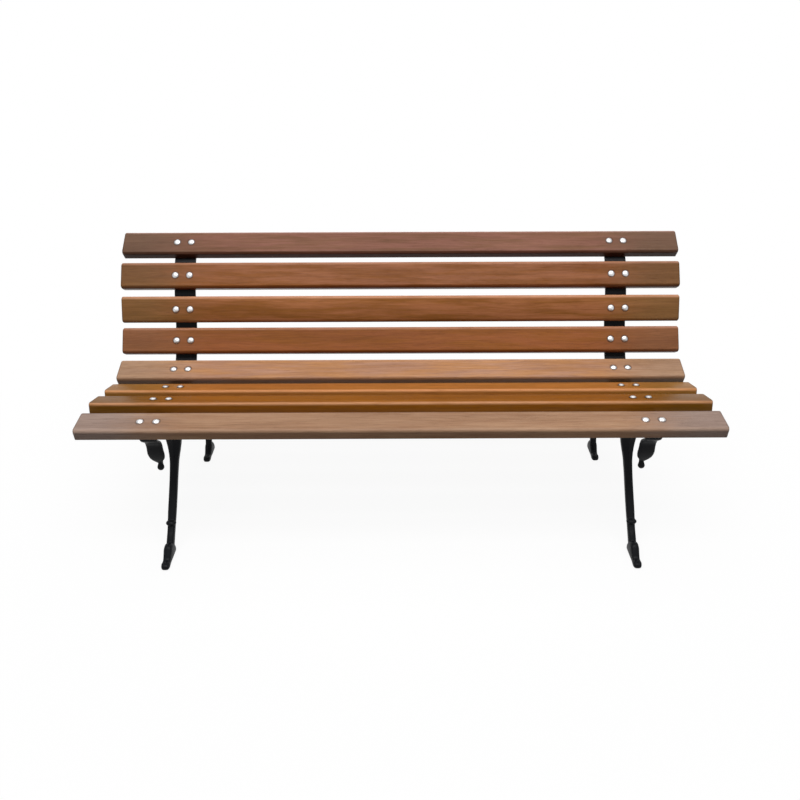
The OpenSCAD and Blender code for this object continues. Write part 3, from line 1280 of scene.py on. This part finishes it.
@dataclass
class Fasteners:
    """The carriage bolts, washers and nuts that hold the slats.

    Attributes:
        effects: The shared node groups.
        slats: The slats' node names.
        bolt: Diameter of the bolt.
        head: Diameter and height of its domed head.
        neck: Width and depth of the square neck's place in the slat.
        washer: Diameter and thickness of the washer.
        nut: Width across flats and height of the nut.
        flange: Thickness of the iron between slat and washer.
        past: Length of bolt past the nut.
        thread_pitch: Distance between two threads.
        thread_count: Number of threads shown.
        rim_span: Share of the head's radius where its painted shade starts, and the span to full shade.
        sides: Number of steps round a bolt, a washer and a nut.
        finish: The plating.
    """

    effects: Effects
    slats: list[str]
    bolt: float = 8.0 * MM
    head: tuple[float, float] = (18.0 * MM, 4.4 * MM)
    neck: tuple[float, float] = (8.4 * MM, 5.0 * MM)
    washer: tuple[float, float] = (16.0 * MM, 1.6 * MM)
    nut: tuple[float, float] = (13.0 * MM, 6.5 * MM)
    flange: float = 8.0 * MM
    past: float = 2.5 * MM
    thread_pitch: float = 1.25 * MM
    thread_count: int = 7
    rim_span: tuple[float, float] = (0.76, 0.16)
    sides: tuple[int, int, int] = (32, 40, 48)
    finish: ZincFinish = ZincFinish()

    def bolt_mesh(self, thickness: float) -> Mesh:
        """Makes a carriage bolt whose head rests at height 0.

        Args:
            thickness: Thickness of the slat that it goes through.

        Returns:
            The mesh.
        """
        radius, rise = self.head[0] / 2, self.head[1]
        edge, rim = 0.35 * MM, 0.5 * MM
        dome = ((radius - edge) ** 2 + (rise - rim) ** 2) / (2 * (rise - rim))
        point, blunt, root, crest, plain = (self.bolt / 2 * share for share in (0.72, 0.8, 0.86, 0.985, 0.9))
        chamfer, lead, under = 0.3 * MM, 0.9 * MM, -0.1 * MM
        pitch = self.thread_pitch
        thread = ((root, -0.25 * pitch), (crest, 0.2 * pitch), (crest, 0.35 * pitch))
        end = -(thickness + self.flange + self.washer[1] + self.nut[1] + self.past)
        profile = [(0.0, end), (point, end), (blunt, end + chamfer)]
        height = end + lead
        while height < end + self.thread_count * pitch:
            profile += [(reach, height + step) for reach, step in thread]
            height += pitch
        neck, depth = self.neck[0] / 2, -self.neck[1]
        profile += [(plain, height), (plain, depth), (neck, depth), (neck, 0.0), (radius - edge, 0.0),
                    (radius, edge * 0.6)]
        steps = 10
        start = math.asin((radius - edge) / dome)
        for i in range(steps):
            angle = start * (1 - i / steps)
            profile.append((dome * math.sin(angle), rise - dome + dome * math.cos(angle)))
        profile.append((0.0, rise))
        mesh = turned("carriage_bolt", profile, self.sides[0], sharp=32.0)
        points = read(mesh.vertices, "co", 3)
        # Marks the rim of the head for its painted shade.
        start, span = self.rim_span
        share = np.clip((np.hypot(points[:, 0], points[:, 1]) / radius - start) / span, 0, 1)
        share[points[:, 2] < under] = 0
        mark(mesh, Attribute.RIM, share)
        return mesh

    def washer_mesh(self) -> Mesh:
        """Makes a flat washer whose top lies at height 0.

        Returns:
            The mesh.
        """
        outer, thick = self.washer[0] / 2, self.washer[1]
        hole = self.bolt / 2 + 0.2 * MM
        ease = 0.25 * MM
        profile = [
            (hole, 0.0), (hole, -thick), (outer - ease, -thick), (outer - ease * 0.3, -thick + ease * 0.3),
            (outer, -thick + ease), (outer, -ease), (outer - ease * 0.3, -ease * 0.3), (outer - ease, 0.0),
        ]
        return turned("flat_washer", profile, self.sides[1], sharp=50.0)

    def nut_mesh(self) -> Mesh:
        """Makes a hexagon nut with chamfered corners whose top lies at height 0.

        Returns:
            The mesh.
        """
        flat, tall = self.nut[0] / 2, self.nut[1]
        hole = self.bolt / 2 + 0.15 * MM
        mouth = 0.5 * MM
        corner = flat / math.cos(math.pi / 6)

        def six_sided(angle: float, radius: float) -> float:
            """Holds a radius inside the hexagon."""
            turn = (angle + math.pi / 6) % (math.pi / 3) - math.pi / 6
            return min(radius, flat / math.cos(turn))

        face = flat * 0.97
        chamfer = corner - face
        rise = chamfer * math.tan(math.radians(30))
        slope = [(face + chamfer * s, -rise * s) for s in (0.0, 0.25, 0.5, 0.75, 1.0)]
        upper = slope + [(corner, -rise * 1.15)]
        lower = [(r, -tall - z) for r, z in reversed(upper)]
        profile = [(hole, -tall + mouth), (hole, -mouth), (hole + mouth, 0.0), *upper, *lower,
                   (hole + mouth, -tall)]
        return turned("hexagon_nut", profile, self.sides[2], 20.0, six_sided)

    def set_tree(self) -> LayingGraph:
        """Builds the geometry group that sets a fastener on each point along a slat.

        Returns:
            The group.
        """
        graph = LayingGraph("set_fasteners", {"Fastener": "Object", "Seed": "Int"})
        seed = graph.take("Seed")

        def draw(most: float, chance: NodeSocket) -> NodeSocket:
            """Draws a number between 0 and a limit for each fastener."""
            return graph.node("FunctionNodeRandomValue", {"Min": 0.0, "Max": most, "Seed": chance},
                              data_type="FLOAT").outputs[1]

        chosen = graph.node("GeometryNodeObjectInfo", {"Object": graph.take("Fastener")})
        spin = draw(2 * math.pi, seed)
        tint = draw(1.0, graph.plus(seed, 50.0))
        copies = graph.node("GeometryNodeInstanceOnPoints", {
            "Points": graph.take("Geometry"), "Instance": chosen.outputs["Geometry"],
            "Rotation": graph.join({2: spin})})
        graph.lay(graph.store(copies.outputs[0], Attribute.TINT, tint, "FLOAT", "INSTANCE"))
        return graph

    def build(self) -> None:
        """Makes, sets and hands over the fasteners of every slat."""
        setting = self.set_tree()
        material = self.finish.material(self.effects)
        places = {slat: BoardPlace.of(slat) for slat in self.slats}
        thickness = places[self.slats[0]].thickness
        under = -self.flange
        patterns = {
            Fastener.BOLT: (self.bolt_mesh(thickness), thickness),
            Fastener.WASHER: (self.washer_mesh(), under),
            Fastener.NUT: (self.nut_mesh(), under - self.washer[1]),
        }
        for kind, (mesh, height) in patterns.items():
            pattern = bpy.data.objects.new(kind.value + "_pattern", mesh)
            for number, (slat, place) in enumerate(places.items()):
                node = f"{slat}_{kind.value}"
                spots = bpy.data.meshes.new(node + "_points")
                spots.from_pydata([(x, 0.0, height) for x in bolt_columns(node)], [], [])
                piece = show("zinc_" + node, spots)
                setting.run(piece, {"Fastener": pattern, "Tilt": place.tilt, "Place": place.middle,
                                    "Seed": number, "Material": material})
                hand_over(piece, node)
            bpy.data.objects.remove(pattern)


# ---------------------------------------------------------------- studio


@dataclass(frozen=True)
class Lamp:
    """A soft rectangular lamp.

    Attributes:
        name: The lamp's name.
        place: Where it hangs.
        aim: The point that it faces.
        size: Its width and depth.
        power: Its power in watts.
    """

    name: str
    place: tuple[float, float, float]
    aim: tuple[float, float, float]
    size: tuple[float, float]
    power: float

    def hang(self) -> None:
        """Hangs the lamp in the scene."""
        data = bpy.data.lights.new(self.name, "AREA")
        data.shape = "RECTANGLE"
        data.size, data.size_y = self.size
        data.energy = self.power
        lamp = show(self.name, data)
        lamp.location = self.place
        lamp.rotation_euler = (Vector(self.aim) - Vector(self.place)).to_track_quat("-Z", "Y").to_euler()


@dataclass
class Studio:
    """The pale floor, the soft light and the camera.

    Attributes:
        floor_size: Width of the floor.
        floor_shades: The floor's colour as it lights the bench, and as it is seen.
        shadow_reach: Distances from the bench at which its shadow starts to fade and is gone.
        floor_glow: Share of the floor that glows white near the bench, and far from it.
        fill: Strength of the surroundings as a light.
        eye: Where the camera stands.
        pitch: How far it looks down, in radians.
        roll: How far it leans, in radians.
        sensor: Width of its sensor in millimetres.
        lens: Its focal length in millimetres.
        sight: How far it sees.
        shift: Shift of the lens.
        lamps: The lamps.
    """

    floor_size: float = 160.0
    floor_shades: tuple[Colour, Colour] = ((0.07, 0.07, 0.07), (0.93, 0.93, 0.93))
    shadow_reach: tuple[float, float] = (0.6, 1.5)
    floor_glow: tuple[float, float] = (0.92, 1.0)
    fill: float = 0.08
    eye: tuple[float, float, float] = (0.0, -1.7566, 1.3096)
    pitch: float = 0.5151
    roll: float = -0.0038
    sensor: float = 36.0
    lens: float = 34.62
    sight: float = 400.0
    shift: tuple[float, float] = (-0.001, -0.00306)
    lamps: tuple[Lamp, ...] = (
        Lamp("overhead", (0.0, 0.1, 2.9), (0.0, 0.1, 0.0), (4.0, 1.8), 36.0),
        Lamp("strip", (0.0, -1.2, 3.0), (0.0, 0.0, 0.45), (3.6, 1.0), 76.0),
        Lamp("rear", (0.0, 2.8, 1.7), (0.0, 0.2, 0.45), (3.2, 1.4), 34.0),
    )

    def camera(self) -> None:
        """Stands the camera in front of the bench and makes it the scene's."""
        data = bpy.data.cameras.new("camera")
        data.sensor_width = self.sensor
        data.lens = self.lens
        data.shift_x, data.shift_y = self.shift
        data.clip_end = self.sight
        camera = show("camera", data)
        camera.matrix_world = (
            Matrix.Translation(self.eye)
            @ Matrix.Rotation(math.pi / 2 - self.pitch, 4, "X")
            @ Matrix.Rotation(self.roll, 4, "Z")
        )
        bpy.context.scene.camera = camera

    def seen(self, graph: Graph) -> NodeSocket:
        """Marks rays that come from the camera, off a glossy surface or through a clear one.

        Args:
            graph: The material's or the world's graph.

        Returns:
            The mark's socket, 0 or 1.
        """
        path = graph.node("ShaderNodeLightPath")
        direct = graph.math("MAXIMUM", path.outputs["Is Camera Ray"], path.outputs["Is Glossy Ray"])
        return graph.math("MAXIMUM", direct, path.outputs["Is Transmission Ray"])

    def output(self, graph: Graph, kind: str, share: NodeSocket, first: Node,
               second: Node) -> None:
        """Mixes two shaders and makes the mix the graph's output.

        Args:
            graph: The graph.
            kind: The output node's type name.
            share: How much of the second shader shows.
            first: First shader's node.
            second: Second shader's node.
        """
        both = graph.node("ShaderNodeMixShader", {0: share, 1: first.outputs[0], 2: second.outputs[0]})
        graph.node(kind, {"Surface": both.outputs[0]})

    def world(self) -> None:
        """Makes the surroundings white to look at and soft as a light."""
        world = bpy.data.worlds.new("studio")
        bpy.context.scene.world = world
        graph = Graph(emptied(world))
        soft = graph.node("ShaderNodeBackground", {"Color": WHITE, "Strength": self.fill})
        white = graph.node("ShaderNodeBackground", {"Color": WHITE, "Strength": 1.0})
        self.output(graph, "ShaderNodeOutputWorld", self.seen(graph), soft, white)

    def floor(self) -> None:
        """Lays a white floor that keeps a soft shadow close to the bench."""
        shell = bmesh.new()
        bmesh.ops.create_grid(shell, x_segments=4, y_segments=4, size=self.floor_size / 2)
        piece = show("studio_floor", to_mesh(shell, "studio_floor"))
        material = bpy.data.materials.new("studio_floor")
        graph = Graph(emptied(material))
        seen = self.seen(graph)
        paper = graph.node("ShaderNodeBsdfDiffuse", {"Color": graph.blend(seen, *self.floor_shades)})
        glow = graph.node("ShaderNodeEmission", {"Color": WHITE, "Strength": 1.0})
        place = graph.node("ShaderNodeTexCoord").outputs["Object"]
        away = graph.ramp(graph.vector("LENGTH", place), *self.shadow_reach, *self.floor_glow)
        self.output(graph, "ShaderNodeOutputMaterial", graph.times(away, seen), paper, glow)
        piece.data.materials.append(material)

    def build(self) -> None:
        """Sets up camera, world, floor and lamps."""
        self.camera()
        self.world()
        self.floor()
        for lamp in self.lamps:
            lamp.hang()
        bpy.context.scene.view_settings.view_transform = "Standard"
        logger.info("the studio is set up")


def main() -> None:
    """Builds the bench piece by piece."""
    logging.basicConfig(level=logging.INFO, format="%(name)s: %(message)s")
    Studio().build()
    columns = bolt_columns("seat_slat_1_bolts")
    effects = Effects(((columns[2] + columns[3]) / 2, (columns[3] - columns[2]) / 2))
    slats = Slats(effects)
    slats.build()
    LegFrames(effects).build()
    Fasteners(effects, [plan.node for plan in slats.plans]).build()


if __name__ == "__main__":
    main()
